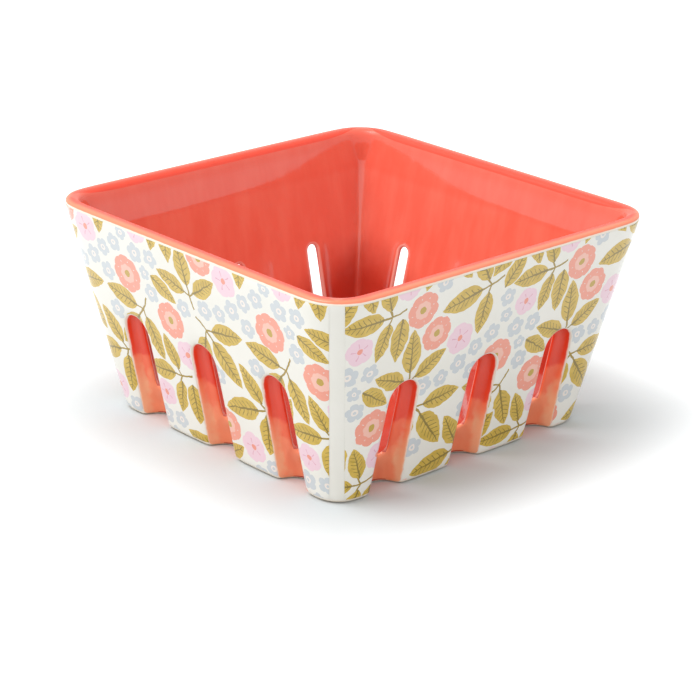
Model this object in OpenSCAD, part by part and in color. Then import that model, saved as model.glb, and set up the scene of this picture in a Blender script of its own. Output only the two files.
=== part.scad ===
// Square stoneware berry bowl: sloping walls, and round-topped drain slots that run down through the foot.
// Each slot is a half-round groove up the outer face, deep enough to open a slit through the wall.
// The origin is on the table under the middle of the bowl, and +Z is up.

/* [Outer form] */
// Width and depth across the rim
rim_w = 134; // [120:1:170]
// Width and depth across the foot
foot_w = 104.4; // [90:0.2:118]
// Height from the table to the top of the rim
bowl_h = 69; // [55:1:95]
// Plan radius of the outer corners at the rim
rim_corner_r = 13.5; // [9:0.5:20]
// Plan radius of the outer corners at the foot
foot_corner_r = 8; // [7:0.5:12]
// Radius of the outer and inner edges of the rim
rim_edge_r = 2; // [1:0.1:2.3]
// Radius of the outer lower edge of the foot
foot_edge_r = 1.6; // [1:0.1:3]

/* [Wall and floor] */
// Level thickness of the glazed wall at the rim
wall_top = 4.8; // [4.6:0.1:7]
// Level thickness of the glazed wall at the foot
wall_foot = 6; // [5:0.1:8]
// Height of the glazed floor above the table
floor_t = 6.5; // [5:0.1:9]
// Radius of the cove between the walls and the floor
cove_r = 7; // [5:0.5:8]
// Smallest plan radius of the corners of the hollow
hollow_corner_r = 4; // [2:0.5:8]
// Depth of the recess under the floor
recess_h = 1; // [0.6:0.1:2]
// Width of the foot ring round that recess
foot_ring_w = 12; // [10:0.5:20]

/* [Drain slots] */
// Number of slots in each wall
slot_count = 3; // [2:1:4]
// Width of a slot's mouth in the outer face
slot_w = 11.5; // [9:0.5:13]
// Height of the top of a slot above the table
slot_top_z = 37.3; // [28:0.1:45]
// Width of the slit that a slot opens in the inner face
slit_w = 5; // [4:0.5:8]
// Width of the corner legs outside the outermost slots, at the table
corner_leg_w = 14; // [12:0.1:20]

/* [Glaze and print] */
// Thickness of each glaze coat
glaze_t = 0.4; // [0.3:0.05:0.6]
// Height of the foot band that is wiped clean of glaze
wiped_h = 0.6; // [0.5:0.05:1]
// Drop from the top of the rim to the line where the two glazes meet
colour_drop = 1.1; // [0.8:0.05:1.6]
// Thickness of a printed transfer
print_t = 0.12; // [0.1:0.01:0.2]
// Width of the plain strip that the transfers leave down each corner
plain_strip_w = 4.4; // [3:0.1:8]
// Margin of a transfer from the slots, the colour line and the foot
print_margin = 0.8; // [0.5:0.1:2]

/* [Hidden] */
$fn = 48;
// Lengths by which a cut runs past what it cuts
overrun = 2;
WALLS = 4;
quarter = 90;
// Flat steps round a corner, over an edge and down the cove
corner_steps = 8;
edge_steps = 4;
cove_steps = 7;
rim_half = rim_w / 2;
foot_half = foot_w / 2;
// Angle by which the hollow's wall leans out, which the slots follow so that each slit keeps its width
hollow_lean = atan((rim_half - wall_top - foot_half + wall_foot) / bowl_h);
slot_r = slot_w / 2;
// Height at which a slot's round top starts, and the run of its middle line up to there
slot_spring_z = slot_top_z - slot_r;
slot_run = slot_spring_z / cos(hollow_lean);
// How far a slot's middle line lies outside the hollow's wall, square to it, and inside the foot's face
slot_depth = sqrt(slot_r * slot_r - slit_w * slit_w / 4);
slot_inset = wall_foot - slot_depth / cos(hollow_lean);
slot_pitch = (foot_w - 2 * corner_leg_w - slot_w) / (slot_count - 1);
slot_first_x = -slot_pitch * (slot_count - 1) / 2;
recess_half = foot_half - foot_ring_w;
recess_corner_r = foot_corner_r / 2;
colour_z = bowl_h - colour_drop;
print_low_z = wiped_h + print_margin;
print_high_z = colour_z - print_margin;

// How far up the wall a height is, from 0 at the table to 1 at the rim
function up(z) = z / bowl_h;
function outer_half(z) = foot_half + (rim_half - foot_half) * up(z);
function outer_corner(z) = foot_corner_r + (rim_corner_r - foot_corner_r) * up(z);
function wall_at(z) = wall_foot + (wall_top - wall_foot) * up(z);

// The points of a square with round corners, at one height
function square_ring(half, r, z) = [
    for (q = [0:WALLS - 1], k = [0:corner_steps])
        let (
            a = quarter * (q + k / corner_steps),
            side_x = (q == 0 || q == 3) ? 1 : -1,
            side_y = q < 2 ? 1 : -1
        )
        [side_x * (half - r) + r * cos(a), side_y * (half - r) + r * sin(a), z]
];

// A ring that lies inset from the outer face at its height
function outer_ring(inset, z) = square_ring(outer_half(z) - inset, outer_corner(z) - inset, z);
function hollow_ring(inset, z) =
    square_ring(outer_half(z) - inset, max(outer_corner(z) - inset, hollow_corner_r), z);

// Rings over the foot's edge, up the wall and over the rim's edge, under a coat of the given thickness
function foot_edge_rings(coat) = [
    for (k = [edge_steps:-1:0])
        let (a = quarter * k / edge_steps, r = foot_edge_r - coat)
        outer_ring(foot_edge_r - r * cos(a), foot_edge_r - r * sin(a))
];
function rim_edge_rings(coat) = [
    for (k = [0:edge_steps])
        let (a = quarter * k / edge_steps, r = rim_edge_r - coat)
        outer_ring(rim_edge_r - r * cos(a), bowl_h - rim_edge_r + r * sin(a))
];

// Rings from the floor up the cove and the wall and out over the rim's inner edge.
// The coat is how far the glaze was taken off the hollow's surface.
function cove_rings(coat) = [
    for (k = [0:cove_steps])
        let (
            a = quarter * k / cove_steps,
            r = cove_r + coat,
            z = floor_t + cove_r - r * cos(a)
        )
        hollow_ring(wall_at(z) + cove_r - r * sin(a), z)
];
function inner_edge_rings(coat) = [
    for (k = [0:edge_steps])
        let (
            a = quarter * k / edge_steps,
            r = rim_edge_r - coat,
            z = bowl_h - rim_edge_r + r * sin(a)
        )
        hollow_ring(wall_at(z) - rim_edge_r + r * cos(a), z)
];

// A closed solid through a list of rings, from the lowest to the highest
module loft(rings) {
    n = len(rings[0]);
    top = len(rings) - 1;
    polyhedron(
        points = [for (ring = rings, p = ring) p],
        faces = concat(
            [[for (k = [0:n - 1]) k]],
            [for (i = [0:top - 1], k = [0:n - 1])
                let (next = (k + 1) % n)
                [i * n + k, (i + 1) * n + k, (i + 1) * n + next, i * n + next]],
            [[for (k = [n - 1:-1:0]) top * n + k]]
        )
    );
}

// The bowl's outside as a filled block: as glazed, and as bare clay that stands on the table
module glazed_block() {
    loft(concat(foot_edge_rings(0), rim_edge_rings(0)));
}
module clay_block() {
    loft(concat([outer_ring(foot_edge_r, 0)], foot_edge_rings(glaze_t), rim_edge_rings(glaze_t)));
}

// The hollow that is cut out of the block, with the given coat of glaze taken off
module hollow(coat) {
    loft(concat(
        cove_rings(coat),
        inner_edge_rings(coat),
        [hollow_ring(wall_top - rim_edge_r, bowl_h + overrun)]
    ));
}

// A level slab as wide as the bowl, between two heights
module slab(low, high) {
    translate([-rim_w, -rim_w, low]) cube([2 * rim_w, 2 * rim_w, high - low]);
}

// One slot's cut in the front wall: a round bar along the sloping wall, with a ball at its top
module slot_cut(grow) {
    translate([0, slot_inset - foot_half, 0]) rotate([hollow_lean, 0, 0]) {
        translate([0, 0, -slot_w]) cylinder(h = slot_w + slot_run, r = slot_r + grow);
        translate([0, 0, slot_run]) sphere(r = slot_r + grow);
    }
}

module front_slots(grow) {
    for (i = [0:slot_count - 1]) translate([slot_first_x + i * slot_pitch, 0, 0]) slot_cut(grow);
}

module slots(grow) {
    for (wall = [0:WALLS - 1]) rotate([0, 0, wall * quarter]) front_slots(grow);
}

// The recess under the floor, from one height up to its roof
module recess(low) {
    loft([square_ring(recess_half, recess_corner_r, low), square_ring(recess_half, recess_corner_r, recess_h)]);
}

// The fired clay, which stands on its wiped foot
module clay() {
    difference() {
        clay_block();
        hollow(glaze_t);
        recess(-overrun);
        slots(glaze_t);
    }
}

module stoneware_body() {
    color("wheat") clay();
}

// The coral coat inside, over the rim and round the slots
module coral_glaze() {
    color("tomato") difference() {
        union() {
            clay_block();
            intersection() {
                glazed_block();
                slab(colour_z, bowl_h + overrun);
            }
        }
        hollow(0);
        slots(0);
        slab(-overrun, wiped_h);
        recess(-overrun);
        clay();
    }
}

// The ivory coat outside, and the one in the recess under the floor
module ivory_glaze() {
    color("ivory") {
        difference() {
            glazed_block();
            clay_block();
            slots(0);
            slab(-overrun, wiped_h);
            slab(colour_z, bowl_h + overrun);
        }
        recess(recess_h - glaze_t);
    }
}

// One transfer, on the front wall: a thin film over the ivory coat that stops short of every edge
module transfer() {
    reach = plain_strip_w * sin(quarter / 2);
    difference() {
        intersection() {
            loft([outer_ring(-print_t, print_low_z), outer_ring(-print_t, print_high_z)]);
            translate([0, 0, print_low_z]) linear_extrude(print_high_z - print_low_z) polygon([
                [0, -reach],
                [-rim_w + reach, -rim_w],
                [rim_w - reach, -rim_w]
            ]);
        }
        loft([outer_ring(0, print_low_z - overrun), outer_ring(0, print_high_z + overrun)]);
        front_slots(print_margin);
    }
}

module front_print() {
    color("goldenrod") transfer();
}

module right_print() {
    color("darkkhaki") rotate([0, 0, quarter]) transfer();
}

module back_print() {
    color("lightpink") rotate([0, 0, 2 * quarter]) transfer();
}

module left_print() {
    color("lightsalmon") rotate([0, 0, 3 * quarter]) transfer();
}

stoneware_body();
coral_glaze();
ivory_glaze();
front_print();
right_print();
back_print();
left_print();
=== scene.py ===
"""A square stoneware berry bowl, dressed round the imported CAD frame.

The fired shape is one subdivision cage: a flat grid is wrapped round one wall from the recess
under the floor, over the foot, the outside, the rim and the inside to the middle of the floor,
its slots are inset, opened and bridged, and four such walls are merged. The finished skin is then
parted into the clay, the two glazes and the four printed transfers, whose motifs a seeded layout
sets out on a repeating tile.
"""

import logging
import math
from contextlib import contextmanager
from dataclasses import dataclass, field
from enum import IntEnum
from typing import Callable, Iterator, Mapping, Optional, Sequence, Union

import bmesh
import bpy
import numpy
from mathutils import Matrix, Vector

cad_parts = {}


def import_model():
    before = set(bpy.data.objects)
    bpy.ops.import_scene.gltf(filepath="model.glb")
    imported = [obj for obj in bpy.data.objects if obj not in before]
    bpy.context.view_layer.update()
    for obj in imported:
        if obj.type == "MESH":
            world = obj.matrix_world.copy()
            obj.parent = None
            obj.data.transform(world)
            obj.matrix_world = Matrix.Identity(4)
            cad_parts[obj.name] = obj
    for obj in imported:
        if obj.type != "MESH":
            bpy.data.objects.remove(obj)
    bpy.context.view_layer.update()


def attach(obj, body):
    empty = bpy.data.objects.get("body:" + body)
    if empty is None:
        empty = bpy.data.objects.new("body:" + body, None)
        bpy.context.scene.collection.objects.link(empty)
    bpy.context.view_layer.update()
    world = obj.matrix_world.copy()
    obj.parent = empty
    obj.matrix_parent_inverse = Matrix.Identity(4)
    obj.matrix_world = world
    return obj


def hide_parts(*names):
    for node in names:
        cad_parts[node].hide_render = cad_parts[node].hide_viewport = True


LOG = logging.getLogger("berry_bowl")
MM = 0.001
QUARTER = math.pi / 2
WALLS = 4
Colour = tuple[float, float, float]
Operand = Union["Wire", float, Sequence[float]]
Element = Union[bmesh.types.BMFace, bmesh.types.BMEdge]


def srgb(code: str) -> Colour:
    """Turns a six-digit hex colour into the linear values that Blender works in."""
    parts = [int(code[k:k + 2], 16) / 255 for k in (0, 2, 4)]
    return tuple(p / 12.92 if p <= 0.04045 else ((p + 0.055) / 1.055) ** 2.4 for p in parts)


class Zone(IntEnum):
    """What a face of the fired skin is, kept as its material number while the shape is made."""

    CLAY = 0
    OUTSIDE = 1
    CORAL = 2
    RECESS = 3
    HOLE = 4


class Bloom(IntEnum):
    """The kinds of bloom in the print."""

    DAISY = 0
    PINK = 1
    CORAL = 2


@dataclass(frozen=True)
class Motif:
    """One motif's place on the print's repeating tile, or beside the motif that carries it.

    Attributes:
        u: Its place along the wall, in millimetres.
        v: Its place up the wall, in millimetres.
        turn: How far it is turned, in degrees.
        size: Its radius or half length, in millimetres, or 1 for a sprig's joint.
        kind: The kind of bloom.
    """

    u: float
    v: float
    turn: float
    size: float
    kind: float = 0.0

    def carry(self, part: "Motif") -> "Motif":
        """Returns where a part goes that is given beside this motif's own place and turn."""
        turn = math.radians(self.turn)
        u = self.u + math.cos(turn) * part.u - math.sin(turn) * part.v
        v = self.v + math.sin(turn) * part.u + math.cos(turn) * part.v
        return Motif(u, v, part.turn + self.turn, part.size, part.kind)


@dataclass(frozen=True)
class Cluster:
    """What moves as one when the print is set out: a sprig, a leaf on its own or a bloom.

    Attributes:
        own: Its size and kind, at no place yet.
        leaves: Its leaves, beside its own place.
        patches: The round patches that it covers, beside its own place.
    """

    own: Motif
    leaves: list[Motif]
    patches: list[Motif]


@dataclass(frozen=True)
class PrintLayout:
    """Sets out the print's motifs: they start at seeded places on a tile and push each other apart.

    Attributes:
        tile: Width and height of the repeating tile, in millimetres.
        sprigs: Half the length of each sprig's main leaf, and the turn from it to its side leaves.
        singles: Half the length of each leaf on its own.
        corals: The radii of the coral blooms.
        pinks: The radii of the pink blooms.
        daisies: The radii of the daisies.
        side_share: The length of a sprig's side leaf, as a share of its main leaf's.
        main_gap: How far the main leaf starts from the joint, as a share of its own half length.
        side_gap: How far a side leaf starts from it, as a share of the main leaf's half length.
        leaf_shares: Each round patch's place along a leaf and its radius, as shares of the half length.
        stem_patches: Each round patch's place along a sprig's stem, from its joint, and its radius.
        gap: How far apart the motifs come to lie, in millimetres.
        steps: How many times they push each other.
        first_share: The share of their sizes that they start with.
        growth: The share that they grow by in all those steps, up to their whole sizes.
        push: The share of an overlap that one step clears.
        inertia: What slows the turning of small motifs.
        stirred: The share of the steps in which the motifs are stirred too.
        stir: How far they are stirred, in millimetres.
        stir_turn: How far they are turned by that, in radians.
        seed: The seed of the random draws.
    """

    tile: tuple[float, float] = (66.0, 56.0)
    sprigs: tuple[tuple[float, float], ...] = ((8.6, 62), (8.0, 70), (7.6, 64), (8.4, 58), (7.2, 72))
    singles: tuple[float, ...] = (7.2, 6.6, 6.2)
    corals: tuple[float, ...] = (6.3, 5.9, 6.1, 5.6)
    pinks: tuple[float, ...] = (4.9, 5.2, 4.6)
    daisies: tuple[float, ...] = (3.4, 3.2, 3.5, 3.1, 3.3, 3.4, 3.0, 3.3, 3.5, 3.1, 3.2, 3.4, 3.2, 2.6, 2.4)
    side_share: float = 0.86
    main_gap: float = 0.42
    side_gap: float = 0.3
    leaf_shares: tuple[tuple[float, float], ...] = (
        (-0.72, 0.2), (-0.38, 0.36), (0.0, 0.43), (0.38, 0.36), (0.72, 0.2),
    )
    stem_patches: tuple[tuple[float, float], ...] = ((-2.0, 1.6), (-4.4, 1.0))
    gap: float = 0.75
    steps: int = 2600
    first_share: float = 0.35
    growth: float = 0.75
    push: float = 0.45
    inertia: float = 4.0
    stirred: float = 0.6
    stir: float = 0.12
    stir_turn: float = 0.01
    seed: int = 0

    def sprig(self, size: float, spread: float) -> list[Motif]:
        """Returns the three leaves of a sprig, beside its joint.

        Args:
            size: Half the length of the main leaf.
            spread: The turn from the main leaf to each side leaf, in degrees.
        """
        side = size * self.side_share
        ways = ((0.0, size, self.main_gap), (spread, side, self.side_gap), (-spread, side, self.side_gap))
        leaves = []
        for aside, half, gap in ways:
            aim = math.radians(90 + aside)
            out = half + size * gap
            leaves.append(Motif(out * math.cos(aim), out * math.sin(aim), 90 + aside, half))
        return leaves

    def cover(self, leaf: Motif) -> list[Motif]:
        """Returns the round patches that a leaf covers."""
        half = leaf.size
        return [leaf.carry(Motif(at * half, 0.0, 0.0, share * half)) for at, share in self.leaf_shares]

    def clusters(self) -> list[Cluster]:
        """Returns the sprigs, the leaves on their own and the blooms, in the order of their draws."""
        made = []
        for size, spread in self.sprigs:
            leaves = self.sprig(size, spread)
            stem = [Motif(0.0, behind, 0.0, radius) for behind, radius in self.stem_patches]
            patches = [patch for leaf in leaves for patch in self.cover(leaf)] + stem
            made.append(Cluster(Motif(0.0, 0.0, 0.0, 1.0), leaves, patches))
        for leaf in (Motif(0.0, 0.0, 0.0, half) for half in self.singles):
            made.append(Cluster(leaf, [leaf], self.cover(leaf)))
        kinds = ((Bloom.CORAL, self.corals), (Bloom.PINK, self.pinks), (Bloom.DAISY, self.daisies))
        for bloom in (Motif(0.0, 0.0, 0.0, radius, kind) for kind, radii in kinds for radius in radii):
            made.append(Cluster(bloom, [], [bloom]))
        return made

    def settle(self, clusters: Sequence[Cluster]) -> list[list[float]]:
        """Scatters the clusters over the tile and lets them grow and push each other apart.

        Args:
            clusters: What moves as one.

        Returns:
            The place of each cluster in millimetres and its turn in radians.
        """
        draw = numpy.random.default_rng(self.seed)
        count, tile = len(clusters), numpy.array(self.tile)
        owner = numpy.repeat(numpy.arange(count), [len(cluster.patches) for cluster in clusters])
        patches = [(patch.u, patch.v, patch.size) for cluster in clusters for patch in cluster.patches]
        u, v, radius = numpy.array(patches).T
        member = (owner == numpy.arange(count)[:, None]).astype(float)
        others, reach = owner[:, None] != owner, radius[:, None] + radius
        state = numpy.stack([draw.uniform(0, end, count) for end in (*self.tile, 2 * math.pi)], axis=1)
        for step in range(self.steps):
            grown = min(1.0, self.first_share + self.growth * step / self.steps)
            cosine, sine = numpy.cos(state[owner, 2]), numpy.sin(state[owner, 2])
            arm = numpy.stack([cosine * u - sine * v, sine * u + cosine * v], axis=1)
            middle = state[owner, :2] + arm
            apart = middle[:, None] - middle
            apart -= tile * numpy.round(apart / tile)
            distance = numpy.sqrt((apart ** 2).sum(-1)) + 1e-9
            overlap = numpy.where(others, numpy.maximum(reach * grown + self.gap - distance, 0), 0)
            force = ((overlap / distance)[..., None] * apart).sum(1)
            torque = arm[:, 0] * force[:, 1] - arm[:, 1] * force[:, 0]
            state[:, :2] += self.push * (member @ force) / member.sum(1)[:, None]
            state[:, 2] += self.push * (member @ torque) / (member @ (arm ** 2).sum(1) + self.inertia)
            if step < self.steps * self.stirred:
                state[:, :2] += draw.normal(0, self.stir, (count, 2))
                state[:, 2] += draw.normal(0, self.stir_turn, count)
        return state.tolist()

    def rounded(self, motif: Motif) -> Motif:
        """Returns a motif on the tile itself, to a tenth of a millimetre and a whole degree."""
        u, v = (round(place % side, 1) for place, side in zip((motif.u, motif.v), self.tile))
        return Motif(u, v, round(motif.turn % 360), round(motif.size, 1), motif.kind)

    def build(self) -> tuple[list[Motif], list[Motif], list[Motif]]:
        """Sets out the print.

        Returns:
            The leaves, the joints of the sprigs and the blooms, each in the order of drawing.
        """
        clusters = self.clusters()
        leaves, joints, blooms = [], [], []
        for cluster, (u, v, turn) in zip(clusters, self.settle(clusters)):
            own = Motif(u, v, math.degrees(turn), cluster.own.size, cluster.own.kind)
            leaves += [self.rounded(own.carry(leaf)) for leaf in cluster.leaves]
            if not cluster.leaves:
                blooms.append(self.rounded(own))
            elif len(cluster.leaves) > 1:
                joints.append(self.rounded(own))
        return leaves, joints, sorted(blooms, key=lambda bloom: bloom.kind)


def deselect_all() -> None:
    """Leaves no object selected or active."""
    bpy.ops.object.select_all(action="DESELECT")
    bpy.context.view_layer.objects.active = None


def make_active(*pieces: bpy.types.Object) -> None:
    """Selects only these objects, with the first one active."""
    deselect_all()
    for piece in pieces:
        piece.select_set(True)
    bpy.context.view_layer.objects.active = pieces[0]


@contextmanager
def edit_mode(piece: bpy.types.Object, select: str = "FACE") -> Iterator[None]:
    """Opens one piece in edit mode with nothing selected, and closes it again.

    Args:
        piece: The mesh object to edit.
        select: The selection mode, VERT, EDGE or FACE.
    """
    make_active(piece)
    bpy.ops.object.mode_set(mode="EDIT")
    bpy.ops.mesh.select_mode(type=select)
    bpy.ops.mesh.select_all(action="DESELECT")
    yield
    bpy.ops.object.mode_set(mode="OBJECT")


def pick(piece: bpy.types.Object, part: str, wanted: Callable[[Element], bool]) -> int:
    """Selects the faces or edges that pass a test, in edit mode.

    Args:
        piece: The mesh object being edited.
        part: What is selected, faces or edges.
        wanted: Says whether a face or an edge is selected.

    Returns:
        How many are selected.
    """
    mesh = bmesh.from_edit_mesh(piece.data)
    elements = getattr(mesh, part)
    for element in elements:
        element.select_set(wanted(element))
    bmesh.update_edit_mesh(piece.data, loop_triangles=False, destructive=False)
    return sum(element.select for element in elements)


def copy_piece(piece: bpy.types.Object, name: str) -> bpy.types.Object:
    """Copies an object with its own mesh."""
    make_active(piece)
    bpy.ops.object.duplicate()
    twin = bpy.context.active_object
    twin.name = name
    twin.data.name = name
    return twin


def apply_modifier(piece: bpy.types.Object, kind: str, **settings: object) -> None:
    """Adds one modifier to a piece, sets it and applies it.

    Args:
        piece: The mesh object.
        kind: The modifier's type.
        **settings: The modifier's properties by name.
    """
    make_active(piece)
    modifier = piece.modifiers.new(kind.title(), kind)
    for key, value in settings.items():
        setattr(modifier, key, value)
    bpy.ops.object.modifier_apply(modifier=modifier.name)


def sharpen(piece: bpy.types.Object) -> None:
    """Keeps the shading of a thin shell's faces from bending at its cut edges."""
    make_active(piece)
    bpy.ops.object.shade_smooth_by_angle(angle=QUARTER / 2)


@dataclass(frozen=True)
class Ring:
    """One level of the bowl: a square with round corners.

    Attributes:
        half: Half the width of the square.
        corner: Plan radius of its corners.
        z: Height above the table.
    """

    half: float
    corner: float
    z: float


@dataclass(frozen=True)
class BowlShape:
    """The bowl's driving sizes, and the profile that follows from them.

    Attributes:
        rim_half: Half the width across the rim.
        foot_half: Half the width across the foot.
        height: Height of the rim above the table.
        rim_corner: Plan radius of the outer corners at the rim.
        foot_corner: Plan radius of the outer corners at the foot.
        wall_top: Level thickness of the wall at the rim.
        wall_foot: Level thickness of the wall at the foot.
        floor_z: Height of the hollow's floor.
        cove: Radius of the cove between the walls and the floor.
        hollow_corner: Plan radius of the hollow's upright corners.
        flare_z: Height from which those corners widen towards the rim.
        recess_z: Depth of the recess under the floor.
        foot_ring: Width of the ring of the foot round that recess.
        colour_drop: Drop from the rim's top to the line where the two glazes meet.
        wiped_z: Height of the foot band that is wiped clean of glaze.
        coat: Thickness of each glaze.
        clay_gap: Gap between the clay and its glazes.
        swell: How far the inner wall swells.
        swell_z: Height of the bend where it swells most.
        swell_low_z: Height below which it doesn't swell.
    """

    rim_half: float = 67 * MM
    foot_half: float = 52.2 * MM
    height: float = 69 * MM
    rim_corner: float = 13.5 * MM
    foot_corner: float = 8 * MM
    wall_top: float = 4.8 * MM
    wall_foot: float = 6 * MM
    floor_z: float = 6.5 * MM
    cove: float = 7 * MM
    hollow_corner: float = 2.2 * MM
    flare_z: float = 54 * MM
    recess_z: float = 1 * MM
    foot_ring: float = 12 * MM
    colour_drop: float = 1.1 * MM
    wiped_z: float = 0.6 * MM
    coat: float = 0.28 * MM
    clay_gap: float = 0.02 * MM
    swell: float = 0.7 * MM
    swell_z: float = 57 * MM
    swell_low_z: float = 38 * MM

    def rising(self, low: float, high: float, z: float) -> float:
        """Returns a size at a height, from its values at the table and at the rim."""
        return low + (high - low) * z / self.height

    def outer_half(self, z: float) -> float:
        """Returns half the outer width at a height."""
        return self.rising(self.foot_half, self.rim_half, z)

    def outer_corner(self, z: float) -> float:
        """Returns the plan radius of the outer corners at a height."""
        return self.rising(self.foot_corner, self.rim_corner, z)

    def wall(self, z: float) -> float:
        """Returns the level thickness of the wall at a height."""
        return self.rising(self.wall_foot, self.wall_top, z)

    def swelling(self, z: float) -> float:
        """Returns how much thicker than its taper the wall is, most along a bend below the rim."""
        above = max(z - self.swell_z, 0) / (self.height - self.swell_z)
        below = max(self.swell_z - z, 0) / (self.swell_z - self.swell_low_z)
        return self.swell * max(1 - above - below, 0)

    def outer_ring(self, inset: float, z: float) -> Ring:
        """Returns the ring that lies inset from the outer face at its height."""
        return Ring(self.outer_half(z) - inset, self.outer_corner(z) - inset, z)

    def hollow_ring(self, z: float) -> Ring:
        """Returns the ring of the inside at a height above the floor, on the wall or on the cove."""
        inset = self.wall(z) + self.swelling(z)
        if z < self.cove_top:
            turn = math.asin(min((self.cove_top - z) / self.cove, 1))
            inset += self.cove * (1 - math.cos(turn))
        half = self.outer_half(z) - inset
        flare = max(z - self.flare_z, 0) / (self.height - self.flare_z)
        widest = self.rim_corner - self.wall_top
        return Ring(half, self.hollow_corner + (widest - self.hollow_corner) * flare ** 2, z)

    @property
    def cove_top(self) -> float:
        """Height at which the cove meets the straight wall."""
        return self.floor_z + self.cove

    @property
    def recess_half(self) -> float:
        """Half the width of the recess under the floor."""
        return self.foot_half - self.foot_ring

    @property
    def colour_z(self) -> float:
        """Height of the line where the ivory and the coral glazes meet."""
        return self.height - self.colour_drop

    @property
    def lean(self) -> float:
        """The angle by which the outer face leans out."""
        return math.atan((self.rim_half - self.foot_half) / self.height)

    @property
    def tilt(self) -> float:
        """The angle by which the hollow's wall leans out."""
        return math.atan((self.rim_half - self.wall_top - self.foot_half + self.wall_foot) / self.height)


@dataclass(frozen=True)
class Grooves:
    """The drain slots: half-round grooves up each wall, deep enough to open slits through it.

    Attributes:
        bowl: The bowl that they are cut in.
        pitch: How far apart their middles are along a wall.
        radius: Radius of the round bar that would fill a groove.
        slit_half: Half the width of the slit in the inner face.
        top_z: Height of a groove's top.
        lip: Width of the band of faces round each groove's mouth.
        slit_lip: Width of the band of faces round each slit.
        draw_back: How far the fired edge of the slit lies behind the cage's edge.
        ledge: Thickness of the glazed clay round the slit.
        ledge_out: How far the outer edge of that ledge lies outside its inner one.
    """

    bowl: BowlShape
    pitch: float = 32.45 * MM
    radius: float = 5.75 * MM
    slit_half: float = 2.5 * MM
    top_z: float = 37.3 * MM
    lip: float = 2.2 * MM
    slit_lip: float = 1.5 * MM
    draw_back: float = 0.4 * MM
    ledge: float = 1.9 * MM
    ledge_out: float = 0.06 * MM

    @property
    def centres(self) -> tuple[float, ...]:
        """The places of the three slots' middles along a wall."""
        return tuple(k * self.pitch for k in (-1, 0, 1))

    @property
    def spring_z(self) -> float:
        """Height at which the round top starts."""
        return self.top_z - self.radius

    @property
    def depth(self) -> float:
        """How far a groove's middle line lies outside the hollow's wall, square to it."""
        return math.sqrt(self.radius ** 2 - self.slit_half ** 2)

    @property
    def foot_half(self) -> float:
        """How far a groove's middle line lies from the bowl's middle, at the table."""
        return self.bowl.foot_half - self.bowl.wall_foot + self.depth / math.cos(self.bowl.tilt)

    @property
    def reach(self) -> float:
        """Half the width of the faces that a groove's mouth is cut from, in the outer face."""
        return self.radius + self.lip

    @property
    def slit_z(self) -> float:
        """Height, on the inner face, of the middle of the slit's round top."""
        return self.spring_z + self.depth * math.sin(self.bowl.tilt)

    @property
    def slit_reach(self) -> float:
        """Half the width of the faces that the slit is cut from."""
        return self.slit_half - self.draw_back + self.slit_lip

    def offset(self, x: float) -> float:
        """Returns how far a place along the wall lies from the nearest groove's middle."""
        return min((x - centre for centre in self.centres), key=abs)

    def distance(self, x: float, z: float) -> float:
        """Returns how far a place on the outer face lies outside the nearest groove's mouth."""
        across = self.offset(x)
        above = max((z - self.spring_z) / math.cos(self.bowl.lean), 0)
        return math.hypot(across, above) - self.radius

    def on_bar(self, point: Vector, centre: float, radius: float) -> Vector:
        """Returns the place, straight out from a groove's middle line, where a point meets the bar.

        Args:
            point: Any point near the groove, on the front wall.
            centre: The groove's place along the wall.
            radius: The radius of the bar.
        """
        tilt = self.bowl.tilt
        start = Vector((centre, -self.foot_half, 0))
        along = Vector((0, -math.sin(tilt), math.cos(tilt)))
        run = min((point - start).dot(along), self.spring_z / math.cos(tilt))
        foot = start + along * run
        return foot + (point - foot).normalized() * radius

    def on_ledge(self, point: Vector, edge: Vector) -> Vector:
        """Returns the place outside a point of the slit's edge, at the ledge's outer edge.

        Args:
            point: The point that moves there, which tells on which side the clay is.
            edge: The point of the slit's edge, on the hollow's wall.
        """
        out = Vector((0, -math.cos(self.bowl.tilt), -math.sin(self.bowl.tilt)))
        aside = point - edge
        aside -= out * aside.dot(out)
        return edge + out * self.ledge + aside.normalized() * self.ledge_out


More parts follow.
